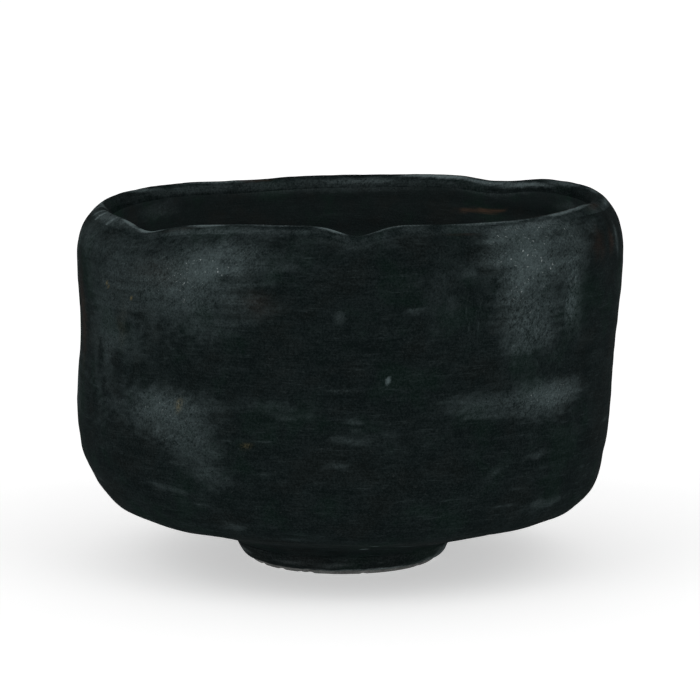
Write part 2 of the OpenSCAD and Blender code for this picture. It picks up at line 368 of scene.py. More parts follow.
# Pale strokes on the lip; the bright ones along the crest are painted highlights.
LIP_BLOOM_AND_HIGHLIGHTS = [
    # All round, on the outer and the inner side
    (0, -2, 400, 3.2, 0, 0.10, 1.0), (90, 2.8, 66, 2.4, 0, 0.17, 1.0),
    # Front: painted highlights along the crest
    (-140, 0, 7, 0.9, 0, 1.0, 0.7), (-121, 0, 7, 0.9, 0, 0.9, 0.8), (-104, 0.1, 14, 0.6, 0, 0.4, 0.9),
    (-92, 0, 4, 0.9, 0, 1.0, 0.7), (-76, 0.1, 10, 0.7, 0, 0.6, 0.9), (-54, -0.2, 14, 0.7, 0, 0.5, 0.8),
    (-34, -0.3, 14, 0.7, 0, 0.7, 0.8), (-148, 0.2, 4, 0.9, 0, 0.9, 0.7),
    (140, 2.6, 34, 2, 0, 0.12, 1.0), (-176, -1.4, 5, 1.0, 50, 0.5, 0.8),
    (-168, -0.6, 5, 0.8, 40, 0.5, 0.8), (-45, -2.4, 15, 2.0, 0, 0.36, 0.9),
    (-118, -2.4, 26, 1.8, 0, 0.14, 1.0),
    # Left corner: bloom, and painted highlights along the outline
    (-160, -0.6, 16, 3, 0, 0.26, 1.0), (-164, -1, 4, 0.8, 60, 0.6, 0.7),
    (-155, -1.5, 3.4, 0.8, 60, 0.5, 0.7), (178, -0.4, 10, 0.9, 10, 0.5, 0.9),
    (156, 0.4, 12, 1.0, -8, 0.5, 0.9),
    # Back and right corner: painted highlights along the rim's inner side
    (66, 1.1, 12, 0.8, 0, 1.0, 0.7), (84, 2.4, 12, 1.0, 0, 0.30, 0.9), (50, 1.5, 13, 0.8, 0, 0.6, 0.8),
    (37, 2.3, 12, 0.8, 0, 0.75, 0.8), (122, 0.9, 14, 0.5, 0, 0.5, 0.8),
    (24, 1.2, 12, 1.2, 0, 0.4, 1.0), (6, 0.4, 8, 0.8, 0, 0.5, 0.9), (-8, -1.6, 6, 1.0, 0, 0.3, 0.9),
]
LIP_BURNS = [
    (-34, 0.6, 16, 0.5, 0, 0.6, 0.8), (-20, -1, 7, 1.6, 0, 0.4, 1.0), (112, 1.0, 6, 0.5, 0, 0.8, 0.7),
    (-128, -1, 8, 0.8, 0, 0.2, 1.0), (8, -0.6, 8, 1.4, 0, 0.35, 1.0),
]
INNER_BLOOM = [
    (96, 76.4, 34, 1.5, 0, 0.28, 0.9), (146, 74, 12, 3, 0, 0.35, 1.0),
    (46, 76.8, 18, 1.5, 0, 0.36, 0.9), (20, 74, 10, 2, 0, 0.35, 1.0), (-60, 66, 14, 6, 0, 0.35, 1.0),
    (-130, 60, 14, 8, 0, 0.35, 1.0), (84, 50, 14, 8, 0, 0.25, 1.0), (170, 48, 12, 8, 0, 0.3, 1.0),
    (30, 30, 12, 6, 0, 0.3, 1.0), (-100, 24, 12, 5, 0, 0.25, 1.0),
    *dashes(50, (-180, 180), (20, 70), 6),
]
INNER_BURNS = [
    (54, 71.8, 9, 0.7, 5, 0.95, 0.45), (-40, 74, 10, 1, 0, 0.5, 0.9), (120, 60, 9, 4, 0, 0.3, 1.0),
]


# A stroke's edges wander by this share of its size, changing at these distances along it
WANDER = 0.22
stations = np.arange(-30, 30.1, 0.6)
# The tilt from which a stroke counts as brushed upright
UPRIGHT_FROM = 45
BLOOM_AND_HIGHLIGHT_SEED, BURN_SEED, OCHRE_SEED = 21, 22, 23


def laid(angle, radius, place, marks, level, seed):
    """How far the marks cover the points, and how far they were brushed upright rather than round."""
    draw = np.random.default_rng(seed).uniform
    cover, upright = np.zeros(angle.shape), np.zeros(angle.shape)
    for turn, centre, half_long, half_wide, tilt, strength, soft in marks:
        lean = math.radians(tilt)
        across = np.radians(turned_from(angle, turn)) * radius
        up = place - level(centre)
        along = across * math.cos(lean) + up * math.sin(lean)
        over = up * math.cos(lean) - across * math.sin(lean)
        along = along + WANDER * half_long * np.interp(over, stations, draw(-1, 1, len(stations)))
        over = over + WANDER * half_wide * np.interp(along / 2, stations, draw(-1, 1, len(stations)))
        near = 1 - smooth(1 - soft, 1, np.hypot(along / half_long, over / half_wide))
        room = 1 - cover if strength > 0 else cover
        cover = cover + near * strength * room
        upright = upright + near * ((tilt > UPRIGHT_FROM) - upright)
    return cover, upright


def painted(grid, places, bloom_and_highlight, burns, ochre, level):
    """The brushwork at the points, as a colour: bloom with painted highlights, burn, uprightness and
    ochre.
    """
    angle = np.degrees(np.arctan2(grid[..., 1], grid[..., 0]))
    radius = np.hypot(grid[..., 0], grid[..., 1])
    place = np.array(places)[:, None] + 0 * angle
    pale, upright = laid(angle, radius, place, bloom_and_highlight, level, BLOOM_AND_HIGHLIGHT_SEED)
    burnt = laid(angle, radius, place, burns, level, BURN_SEED)[0]
    yellow = laid(angle, radius, place, ochre, level, OCHRE_SEED)[0]
    return np.stack([pale, burnt, upright, yellow], axis=-1)


# ---------------------------------------------------------------- meshes

SEGMENTS = 512
# Edges sharper than this are shaded as edges
SHARP_ANGLE = 55


def add_piece(name, points, faces, material, paint=None):
    """A closed piece from points in millimetres, which rides on the bowl."""
    mesh = bpy.data.meshes.new(name)
    mesh.from_pydata((points * MM).tolist(), [], faces)
    shape = bmesh.new()
    shape.from_mesh(mesh)
    bmesh.ops.recalc_face_normals(shape, faces=shape.faces)
    shape.to_mesh(mesh)
    shape.free()
    mesh.polygons.foreach_set("use_smooth", [True] * len(mesh.polygons))
    mesh.set_sharp_from_angle(angle=math.radians(SHARP_ANGLE))
    mesh.materials.append(material)
    if paint is not None:
        layer = mesh.attributes.new("paint", "FLOAT_COLOR", "POINT")
        layer.data.foreach_set("color", paint.astype(np.float32).ravel())
    piece = bpy.data.objects.new(name, mesh)
    bpy.context.scene.collection.objects.link(piece)
    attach(piece, BODY)
    return piece


def grid_faces(rows, segments, closed):
    """Quads between rows of points; closed also joins the last row to the first."""
    row = np.arange(rows if closed else rows - 1)[:, None]
    here = np.arange(segments)[None, :]
    low, high, beside = row * segments, (row + 1) % rows * segments, (here + 1) % segments
    corners = [low + here, high + here, high + beside, low + beside]
    return np.stack(corners, axis=-1).reshape(-1, 4).tolist()


def band(name, grid, material, paint=None):
    """A ring-shaped piece, whose rows of points close on themselves."""
    rows, segments = grid.shape[:2]
    return add_piece(name, grid.reshape(-1, 3), grid_faces(rows, segments, True), material, paint)


def middle(row, height):
    """The point at that height in the middle of a row of points."""
    x, y, _ = row.mean(axis=0)
    return x, y, height


def capped(name, grid, first_h, last_h, material, paint=None):
    """A piece whose first and last rows each close on a point at that height."""
    rows, segments = grid.shape[:2]
    points = np.vstack([grid.reshape(-1, 3), [middle(grid[0], first_h), middle(grid[-1], last_h)]])
    faces = grid_faces(rows, segments, False)
    centre, last = rows * segments, (rows - 1) * segments
    ring = [(j, (j + 1) % segments) for j in range(segments)]
    faces += [(centre, a, b) for a, b in ring]
    faces += [(centre + 1, last + b, last + a) for a, b in ring]
    if paint is not None:
        paint = np.vstack([paint.reshape(-1, 4), paint[0, :1], paint[-1, :1]])
    return add_piece(name, points, faces, material, paint)


# ---------------------------------------------------------------- materials


# The Mix node's two colour sockets, and the one that its colour comes out of
MIX_A, MIX_B, MIX_OUT = 6, 7, 2


class Shader:
    """A node material, built one node at a time."""

    def __init__(self, name):
        self.material = bpy.data.materials.new(name)
        self.material.use_nodes = True
        self.tree = self.material.node_tree
        self.surface = self.tree.nodes["Principled BSDF"]
        place = self.tree.nodes.new("ShaderNodeTexCoord").outputs["Object"]
        self.place = self.vector("SCALE", place, scale=1 / MM)

    def node(self, kind, inputs, **settings):
        """A node of that kind; an input is a value, another node's socket, or None to leave it alone."""
        made = self.tree.nodes.new("ShaderNode" + kind)
        for key, value in settings.items():
            setattr(made, key, value)
        for key, value in inputs.items():
            if value is None:
                continue
            if isinstance(value, bpy.types.NodeSocket):
                self.tree.links.new(value, made.inputs[key])
            else:
                made.inputs[key].default_value = value
        return made

    def math(self, operation, a, b=None, c=None):
        """A Math node on up to three numbers."""
        return self.node("Math", {0: a, 1: b, 2: c}, operation=operation).outputs[0]

    def times(self, *values):
        """The product of the values."""
        product = values[0]
        for value in values[1:]:
            product = self.math("MULTIPLY", product, value)
        return product

    def plus(self, *values):
        """The sum of the values."""
        total = values[0]
        for value in values[1:]:
            total = self.math("ADD", total, value)
        return total

    def swing(self, value, strength):
        """Noise made to swing about 0, times how strong it is."""
        return self.times(self.plus(value, -0.5), strength)

    def vector(self, operation, a, b=None, scale=None):
        """A Vector Math node, of which LENGTH gives a number."""
        made = self.node("VectorMath", {0: a, 1: b, "Scale": scale}, operation=operation)
        return made.outputs["Value" if operation == "LENGTH" else "Vector"]

    def noise(self, size, where=None, detail=4.0, rough=0.55):
        """Noise from 0 to 1 whose lumps are that size along each axis."""
        scaled = self.vector("DIVIDE", where or self.place, size)
        inputs = {"Vector": scaled, "Scale": 1.0, "Detail": detail, "Roughness": rough}
        return self.node("TexNoise", inputs).outputs["Fac"]

    def ramp(self, value, low, high, to_low=0.0, to_high=1.0):
        """The value, eased from to_low at low to to_high at high."""
        inputs = {"Value": value, "From Min": low, "From Max": high, "To Min": to_low, "To Max": to_high}
        return self.node("MapRange", inputs, interpolation_type="SMOOTHSTEP").outputs["Result"]

    def between(self, share, a, b):
        """The value a, turning to b as share goes to 1."""
        return self.math("MULTIPLY_ADD", share, self.math("SUBTRACT", b, a), a)

    def mix(self, share, a, b):
        """Colour a, turning to b as share goes to 1."""
        made = self.node("Mix", {"Factor": share}, data_type="RGBA")
        for key, value in ((MIX_A, a), (MIX_B, b)):
            if isinstance(value, bpy.types.NodeSocket):
                self.tree.links.new(value, made.inputs[key])
            else:
                made.inputs[key].default_value = (*value, 1)
        return made.outputs[MIX_OUT]

    def up_and_out(self):
        """The place on the bowl, with z growing both up the wall and out along the underside."""
        flat = self.vector("MULTIPLY", self.place, (1, 1, 0))
        out = self.math("MULTIPLY", self.vector("LENGTH", flat), OUT_AS_UP)
        lift = self.node("CombineXYZ", {"Z": out}).outputs[0]
        return self.vector("ADD", self.place, lift)

    def climbing(self, slope):
        """The place on the bowl, with z the same along lines that climb to the right over the front."""
        x = self.node("SeparateXYZ", {0: self.place}).outputs[0]
        lift = self.node("CombineXYZ", {"Z": self.times(x, -slope)}).outputs[0]
        return self.vector("ADD", self.place, lift)

    def brushwork(self):
        """The bloom with painted highlights, burn, uprightness and ochre painted on the mesh."""
        paint = self.node("Attribute", {}, attribute_name="paint")
        parts = self.node("SeparateColor", {0: paint.outputs["Color"]}).outputs
        return parts[0], parts[1], parts[2], paint.outputs["Alpha"]

    def bump(self, height, distance, below=None):
        """A normal from a height of up to that many millimetres, on top of the normal below."""
        inputs = {"Height": height, "Distance": distance * MM, "Strength": 1.0, "Normal": below}
        return self.node("Bump", inputs).outputs[0]

    def set(self, **values):
        """Sockets of the surface shader; underscores stand for spaces."""
        for key, value in values.items():
            socket = self.surface.inputs[key.replace("_", " ")]
            if isinstance(value, bpy.types.NodeSocket):
                self.tree.links.new(value, socket)
            else:
                socket.default_value = value
        return self.material


# Colours of the marks on the glaze
BURNT = (0.034, 0.018, 0.012)
TAN = (0.105, 0.066, 0.046)
YELLOW = (0.13, 0.105, 0.045)
GLINT = (0.22, 0.25, 0.25)
# Tints that drift over the black, as shares of its own colour
MOSS = (0.95, 1.34, 1.06)
UMBER = (1.25, 1.05, 1.00)
# How much of the bloom there is everywhere, even where the glaze looks black
WASH = 0.045
# The glaze is nearly matt: what little it mirrors
GLAZE_MIRROR, GLAZE_IOR = 0.008, 1.2
# How steeply the scratches climb, and how deep the strokes, hairs, grain and pits are
CLIMB = 0.9
STROKE_DEPTH, HAIR_DEPTH, GRAIN_DEPTH, PIT_DEPTH = 0.09, 0.03, 0.022, 0.05


def glaze(name, base, bloom_and_highlight, brown, least_rough):
    """Black brushed glaze: nearly matt, with strokes, a dry grey bloom with painted highlights in it,
    brown burns and flecks.
    """
    s = Shader(name)
    pale, burnt, upright, yellow = s.brushwork()
    up = s.up_and_out()

    # Streaks: broad and fine ones along the brush, and scratches that climb across it
    round_strokes = s.noise((11, 11, 1.2), up, detail=5, rough=0.66)
    upright_strokes = s.noise((1.1, 1.1, 9), detail=5, rough=0.66)
    stroke = s.between(upright, round_strokes, upright_strokes)
    round_hairs = s.noise((2.8, 2.8, 0.28), up, detail=3, rough=0.6)
    upright_hairs = s.noise((0.3, 0.3, 3), detail=3, rough=0.6)
    hair = s.between(upright, round_hairs, upright_hairs)
    scratch = s.noise((3.6, 3.6, 0.34), s.climbing(CLIMB), detail=3, rough=0.6)

    # Lumps, from the size of a thumb down to the clay's tooth
    hue = s.noise((13, 13, 11), detail=4, rough=0.6)
    cloud = s.noise((5, 5, 4), detail=6, rough=0.72)
    flake = s.noise((0.8, 0.8, 1.2), detail=3, rough=0.8)
    speck = s.noise((0.5, 0.5, 0.5), detail=1, rough=0.5)
    grain = s.noise((0.42, 0.42, 0.42), detail=2, rough=0.8)

    # A thin wash of bloom ends at a ragged edge
    frayed = s.plus(pale, s.swing(cloud, 0.55))
    pale = s.times(pale, s.ramp(frayed, 0.02, 0.13, 0.35, 1.06))

    # Bristles and the clay's tooth break the bloom and painted highlights up, each by its own strength in
    # thin and thick bloom
    flaking = s.times(s.ramp(pale, 0.05, 0.3, 0.1, 1.0), s.ramp(upright, 0.0, 1.0, 0.5, 1.5))
    worked = s.plus(
        s.plus(pale, WASH),
        s.times(s.plus(stroke, hair, -1.0), s.ramp(pale, 0.0, 0.4, 0.13, 0.26)),
        s.swing(grain, s.ramp(pale, 0.0, 0.4, 0.32, 1.35)),
        s.swing(scratch, s.ramp(pale, 0.05, 0.4, 0.0, 0.5)),
        s.swing(flake, flaking),
        s.times(s.ramp(hair, 0.56, 0.70), s.ramp(stroke, 0.48, 0.62), 0.12),
        s.swing(cloud, s.ramp(pale, 0.0, 0.4, 0.16, 0.62)),
    )
    bloom_and_highlight_share = s.math("MINIMUM", s.math("MAXIMUM", worked, 0.0), 1.0)

    mossy, brownish = ([c * tint for c, tint in zip(base, tints)] for tints in (MOSS, UMBER))
    colour = s.mix(s.ramp(hue, 0.50, 0.66, 0.0, 0.8), base, mossy)
    colour = s.mix(s.ramp(hue, 0.50, 0.36, 0.0, 0.8), colour, brownish)
    colour = s.mix(bloom_and_highlight_share, colour, bloom_and_highlight)
    colour = s.mix(s.times(burnt, s.ramp(hair, 0.35, 0.65, 0.5, 0.95)), colour, brown)
    colour = s.mix(s.times(yellow, s.ramp(grain, 0.36, 0.56)), colour, YELLOW)
    glints = s.times(s.ramp(speck, 0.69, 0.74), s.ramp(pale, 0.2, 0.6, 0.03, 0.9))
    colour = s.mix(glints, colour, GLINT)

    rough = s.ramp(bloom_and_highlight_share, 0.0, 0.8, least_rough, least_rough + 0.12)
    rough = s.plus(rough, s.ramp(hair, 0.3, 0.7, -0.05, 0.06))
    pits = s.ramp(s.noise((1.3, 1.3, 1.3), detail=1), 0.20, 0.30)
    bumps = s.bump(stroke, STROKE_DEPTH)
    bumps = s.bump(hair, HAIR_DEPTH, bumps)
    bumps = s.bump(grain, GRAIN_DEPTH, bumps)
    bumps = s.bump(pits, PIT_DEPTH, bumps)
    s.set(Base_Color=colour, Roughness=rough, Normal=bumps)
    return s.set(Specular_IOR_Level=GLAZE_MIRROR, IOR=GLAZE_IOR)


GRIT_DEPTH, CLAY_ROUGH, CLAY_MIRROR = 0.08, 0.85, 0.2


def clay(name, colour):
    """Bare low-fired clay: grainy and quite dull."""
    s = Shader(name)
    grit = s.noise((0.5, 0.5, 0.5), detail=4, rough=0.7)
    stain = s.noise((6, 6, 6), detail=3)
    tone = s.mix(s.ramp(stain, 0.35, 0.7), colour, [0.5 * c for c in colour])
    tone = s.mix(s.ramp(grit, 0.48, 0.34, 0.0, 0.6), tone, [0.25 * c for c in colour])
    tone = s.mix(s.ramp(grit, 0.52, 0.75, 0.0, 0.7), tone, [1.6 * c for c in colour])
    s.set(Base_Color=tone, Normal=s.bump(grit, GRIT_DEPTH))
    return s.set(Roughness=CLAY_ROUGH, Specular_IOR_Level=CLAY_MIRROR)


# Colour of the glaze, of the bloom and painted highlights on it and of its burns, and how rough it is
# where it is black
outer_material = glaze("outer_glaze_black", (0.0038, 0.0062, 0.0063), (0.066, 0.088, 0.090), BURNT, 0.72)
# The lip's paler mark colour paints the highlights along its crest.
lip_material = glaze("lip_glaze_black", (0.0036, 0.0066, 0.0067), (0.110, 0.142, 0.146), BURNT, 0.72)
# The inside is the same black glaze, given a paler black as painted fill light for the shade inside the
# bowl.
inner_material = glaze("inner_glaze_black", (0.0155, 0.0220, 0.0223), (0.070, 0.090, 0.092), TAN, 0.68)
# The foot's black is a little paler than the outside's, painted fill light for the shade under the bowl.
foot_material = glaze("foot_glaze_black", (0.0052, 0.0078, 0.0080), (0.110, 0.132, 0.134), BURNT, 0.72)
bare_material = clay("bare_foot_clay", (0.15, 0.155, 0.15))
clay_material = clay("fired_clay", (0.16, 0.11, 0.08))

# ---------------------------------------------------------------- the glazed surface

# The step between rows, how much less it is at the lip and the foot, and more in the middle
ROW_STEP, CLOSER_AT_LIP, CLOSER_AT_FOOT, WIDER_IN_MIDDLE = 0.74, 0.36, 0.4, 0.3
# How far those places reach along the outline
LIP_REACH, FOOT_REACH, MIDDLE_REACH = 5, 3, 12
# The step at a coat's two ends, and the least that is left before the last one
END_STEP, END_ROOM = 0.03, 0.2


def row_places(start, end):
    """Distances of a coat's rows: close over the lip, at the foot and at the coat's ends."""
    places = [start, start + END_STEP]
    while places[-1] < end - END_ROOM:
        place = places[-1]
        near_lip = bell(place - (lip_start + lip_end) / 2, LIP_REACH)
        near_foot = bell(place, FOOT_REACH)
        near_middle = 1 - smooth(0, MIDDLE_REACH, skin_end - place)
        closer = CLOSER_AT_LIP * near_lip + CLOSER_AT_FOOT * near_foot
        places.append(place + ROW_STEP - closer + WIDER_IN_MIDDLE * near_middle)
    return [place for place in places if place < end - END_ROOM] + [end - END_STEP, end]


# Pinholes and nicks in the glaze: (angle, height, depth, half width, half height)
PITS = [
    (-81, 48.0, 0.5, 0.5, 1.1), (-83.5, 47.0, 0.3, 0.5, 0.6), (-52, 62, 0.3, 0.7, 0.6),
    (-128, 50, 0.3, 0.6, 0.7), (-68, 24, 0.3, 0.6, 0.5), (-104, 34, 0.25, 0.5, 0.5),
    (15, 40, 0.4, 0.8, 0.7), (70, 52, 0.4, 0.7, 0.9), (101, 31, 0.4, 0.9, 0.7),
    (140, 60, 0.35, 0.7, 0.6), (175, 38, 0.4, 0.7, 0.8), (-20, 30, 0.3, 0.6, 0.6),
]
# Heights between which the tool marks of the underside end
HIP_HEIGHTS = 16, 34
# How far the wall stands out in lumps of each kind, and how far apart they are along each axis
DENTS, TOOL_MARKS, RIDGES = (0.28, (26, 26, 20)), (0.22, (8, 8, 5)), (0.10, (24, 24, 3.4))
TOOTH, LIP_LUMPS, INNER_DENTS = (0.035, (2.4, 2.4, 2.0)), (0.14, (7, 7, 7)), (0.12, (14, 14, 9))
# The throwing spiral inside: its height, the way between its turns, and how it wanders
SPIRAL_H, SPIRAL_STEP, SPIRAL_WANDER = 0.22, 8.5, (1.6, (40, 40, 40))


def relief(grid, places):
    """How far the surface stands out from the formed shape."""
    arc = np.array(places)[:, None]
    angle = np.degrees(np.arctan2(grid[..., 1], grid[..., 0]))
    z = grid[..., 2]
    outside = 1 - smooth(lip_start - 3, lip_start + 3, arc)
    inside = smooth(lip_end - 2, lip_end + 6, arc)
    lip = 1 - outside - inside
    lower = outside * (1 - smooth(*HIP_HEIGHTS, z))
    off_centre = smooth(0, 16, skin_end - arc)
    lifted = outside * smooth(0, 8, arc) * lumps(grid, DENTS, 1)
    lifted += lower * lumps(grid, TOOL_MARKS, 2)
    lifted += outside * lumps(brushed(grid), RIDGES, 3)
    lifted += lumps(grid, TOOTH, 4)
    lifted += lip * lumps(grid, LIP_LUMPS, 5)
    turns = 2 * np.pi * arc / SPIRAL_STEP + np.radians(angle) + lumps(grid, SPIRAL_WANDER, 6)
    lifted += inside * off_centre * (SPIRAL_H * np.sin(turns) + lumps(grid, INNER_DENTS, 7))
    for a, height, depth, wide, tall in PITS:
        across = np.radians(turned_from(angle, a)) * wall_r
        lifted -= outside * depth * bell(across, wide) * bell(z - height, tall)
    return lifted


# The fillet of glaze in the corner at the foot's root: its size, and how far it spreads
FILLET, FILLET_SPREAD = 0.45, 1.1


def skin_rows(places):
    """The finished glazed surface at these distances along its outline."""
    grid = formed(at(skin_path, places), SEGMENTS)
    fillet = FILLET * bell(np.array(places), FILLET_SPREAD)[:, None, None]
    out = np.stack([grid[..., 0], grid[..., 1], -np.hypot(grid[..., 0], grid[..., 1])], axis=-1)
    corner = out / np.linalg.norm(out, axis=-1, keepdims=True)
    return grid + normals(grid) * relief(grid, places)[..., None] + fillet * corner


# The outline of the clay under the coats: the glazed one, set back by each point's thickness
under_path = skin_path.copy()
slope = np.gradient(skin_path[:, :2], axis=0)
slope /= np.linalg.norm(slope, axis=1, keepdims=True)
under_path[:, 0] += -slope[:, 1] * skin_path[:, 2]
under_path[:, 1] += slope[:, 0] * skin_path[:, 2]
under_path[0, :2] = foot_top_r - CORNER_T, foot_h
under_path[-1, 0] = 0


# Distance between rows that the glaze hides: under the coats, under the inside, and of the body
HIDDEN_GAP, INNER_GAP, BODY_GAP = 5, 3, 2


def clay_rows(start, end, gap, segments):
    """The clay's surface under the glaze, between two distances along the glazed outline."""
    places = np.linspace(start, end, max(2, int((end - start) / gap) + 1))
    path = np.stack([np.interp(places, skin_arc, under_path[:, k]) for k in range(2)], axis=-1)
    return formed(path, segments)


def coated(start, end, bloom_and_highlight, burns, ochre, level, gap=HIDDEN_GAP):
    """Rows of the glaze's surface and of the clay under it, with the paint for both."""
    places = row_places(start, end)
    skin = skin_rows(places)
    hidden = clay_rows(start, end, gap, SEGMENTS)[::-1]
    paint = painted(skin, places, bloom_and_highlight, burns, ochre, level)
    return skin, hidden, paint, np.zeros((*hidden.shape[:2], 4))


skin, hidden, paint, plain = coated(0, lip_start, BLOOM_AND_HIGHLIGHTS, BURNS, OCHRE, outside_place)
outer = band(
    "outer_glaze_coat",
    np.concatenate([skin, hidden]),
    outer_material,
    np.concatenate([paint, plain]),
)
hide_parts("outer_glaze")

skin, hidden, paint, plain = coated(lip_start, lip_end, LIP_BLOOM_AND_HIGHLIGHTS, LIP_BURNS, [], lip_place)
lip = band(
    "lip_glaze_coat",
    np.concatenate([skin, hidden]),
    lip_material,
    np.concatenate([paint, plain]),
)
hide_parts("lip_glaze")

# The inside and the clay body stop short of the axis and close on a point there
NEAR_AXIS = 0.3
skin, hidden, paint, plain = coated(
    lip_end, skin_end - NEAR_AXIS, INNER_BLOOM, INNER_BURNS, [], inside_place, INNER_GAP
)
inner = capped(
    "inner_glaze_coat",
    np.concatenate([hidden, skin]),
    under_path[-1, 1],
    skin_path[-1, 1],
    inner_material,
    np.concatenate([plain, paint]),
)
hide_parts("inner_glaze")

# ---------------------------------------------------------------- clay body

CLAY_SEGMENTS = 192
# The gap between the foot's coats and the clay behind them
CLEAR = 0.02
recess = [
    (nub_r / 2, ceiling_h - nub_h / 2),
    (nub_r, ceiling_h),
    (well_r + CLEAR, ceiling_h),
    (well_r + CLEAR, foot_h),
]
body = capped(
    "clay_body_pinched",
    np.concatenate([
        formed(np.array(recess), CLAY_SEGMENTS),
        clay_rows(0, skin_end - NEAR_AXIS, BODY_GAP, CLAY_SEGMENTS),
    ]),
    ceiling_h - nub_h,
    under_path[-1, 1],
    clay_material,
)
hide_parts("clay_body")

# ---------------------------------------------------------------- the foot ring

FOOT_SEGMENTS = 360
foot_turn = np.radians(np.arange(FOOT_SEGMENTS) * 360 / FOOT_SEGMENTS)
EDGE_H, EDGE_W, WELL_FLARE, FLANK_OUT = 0.3, 0.8, 0.4, 1.9
flank_end_r = foot_rest_r + FLANK_OUT
flank_path = curve([
    (foot_top_r, foot_h),
    (0.65 * foot_top_r + 0.35 * flank_end_r, foot_h / 2),
    (flank_end_r, bare_h),
    (foot_rest_r + EDGE_W, EDGE_H),
])
flank_length = arc_lengths(flank_path)[2 * SPAN]


def ring_of(radius, height):
    """Rows of points round the foot, from a radius and height that may change with the angle."""
    return np.stack(
        [radius * np.cos(foot_turn), radius * np.sin(foot_turn), height + 0 * foot_turn],
        axis=-1,
    )


def uneven(radius, seed, size):
    """Noise round a ring of that radius."""
    return field(ring_of(radius, 0), (size, size, size), seed)


# Rows round each edge, down the well's wall and across the resting face, and the room between them
EASED_ROWS, WALL_ROWS, REST_ROWS, ROW_GAP = 10, 5, 11, 0.3


def eased(from_r, from_h, to_r, to_h):
    """Points round a quarter of an ellipse, level where it ends."""
    turn = np.linspace(0, math.pi / 2, EASED_ROWS)
    radii = to_r + (from_r - to_r) * np.cos(turn)
    heights = from_h + (to_h - from_h) * np.sin(turn)
    return [*zip(radii, heights)]


# The ring's outline: down the well's wall, round its edge, across the resting face, up the flank
rest_in_r = well_r + WELL_FLARE + EDGE_W
wall_heights = np.linspace(foot_h - 2 * ROW_GAP, bare_h + ROW_GAP, WALL_ROWS)
rest_radii = np.linspace(rest_in_r + ROW_GAP, foot_rest_r - ROW_GAP, REST_ROWS)
# Points of the flank, from just above the height where its coat stops to midway up its first span
FLANK_FIRST, FLANK_STEP = 8, 12
flank_points = flank_path[2 * SPAN - FLANK_FIRST:SPAN // 2:-FLANK_STEP, :2]
ring_path = np.array([
    (well_r + CLEAR, foot_h),
    *[(well_r + CLEAR, height) for height in wall_heights],
    *eased(well_r + CLEAR, bare_h, rest_in_r, 0),
    *[(radius, 0) for radius in rest_radii],
    *eased(flank_end_r - FOOT_T, bare_h, foot_rest_r, 0)[::-1],
    *[(radius - FOOT_T - CLEAR, height) for radius, height in flank_points],
    (foot_top_r - CORNER_T, foot_h),
])
ring_skin = ring_of(ring_path[:, 0:1], ring_path[:, 1:2])

# Chips along the two edges of the resting face, and wear all over it
CHIP_DEPTH, CHIP_SIZE, CHIP_FROM, CHIP_SPREAD = 0.9, 2.2, 0.12, 0.6
WEAR = 0.05, (3, 3, 3)
worn = 1 - smooth(0, bare_h, ring_path[:, 1:2])
chips = np.clip(field(ring_skin, (CHIP_SIZE, CHIP_SIZE, CHIP_SIZE), 31) - CHIP_FROM, 0, 1)
outer_edge = bell(ring_path[:, 0:1] - foot_rest_r - EDGE_W / 2, CHIP_SPREAD)
inner_edge = bell(ring_path[:, 0:1] - rest_in_r + EDGE_W / 2, CHIP_SPREAD)
chipped = CHIP_DEPTH * chips * (outer_edge + inner_edge)
ring_skin[..., 2] += worn * (chipped + np.abs(lumps(ring_skin, WEAR, 32)))
ring_piece = band("foot_ring_bare", ring_skin, bare_material)
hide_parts("foot_ring")

# ---------------------------------------------------------------- the coat on the foot's flank

# How far down the coat runs, as a share of the flank, and how much that changes round the foot
REACH, SLOW_REACH, QUICK_REACH = 0.99, 0.14, 0.09
# Where its end starts to round off, and the square of the least share of its thickness there
ROUND_FROM, LEAST_SQUARE = 0.86, 0.002
# The bead of glaze above that end: how thick, where, and how far it spreads
BEAD_T, BEAD_AT, BEAD_SPREAD = 0.16, 0.84, 0.09
# How far the thicker glaze at the root spreads down the flank
ROOT_SPREAD = 0.05
# The fillet at the root stands out at 45 degrees, which is this much outwards and down
DIAGONAL = 0.7
FLANK_LUMPS, FLANK_TOOTH = (0.14, (6, 6, 3)), (0.04, (1.8, 1.8, 1.8))
glaze_reach = REACH + SLOW_REACH * uneven(foot_rest_r, 11, 8) + QUICK_REACH * uneven(foot_rest_r, 12, 1.7)
share = np.concatenate([[0, 0.01], np.linspace(0.05, ROUND_FROM, 14), np.linspace(0.9, 1, 7)])[:, None]
down = at(flank_path, share * glaze_reach * flank_length)
past_round = np.clip(share - ROUND_FROM, 0, 1) / (1 - ROUND_FROM)
end_round = np.sqrt(np.clip(1 - past_round ** 2, LEAST_SQUARE, 1))
bead = BEAD_T * bell(share - BEAD_AT, BEAD_SPREAD)
at_root = (CORNER_T - FOOT_T) * bell(share, ROOT_SPREAD)
bare_r = down[..., 0] - FOOT_T - at_root
flank_skin = ring_of(bare_r + (FOOT_T + bead) * end_round + at_root, down[..., 1])
fillet = DIAGONAL * FILLET * bell(share * flank_length, FILLET_SPREAD)
flank_lumps = lumps(flank_skin, FLANK_LUMPS, 13) + lumps(flank_skin, FLANK_TOOTH, 14)
swell = flank_lumps * smooth(0, 0.15, share) * end_round + fillet
flank_skin[..., 0] += swell * np.cos(foot_turn)
flank_skin[..., 1] += swell * np.sin(foot_turn)
flank_skin[..., 2] -= fillet
flank_hidden = ring_of(bare_r, down[..., 1])[::-3]
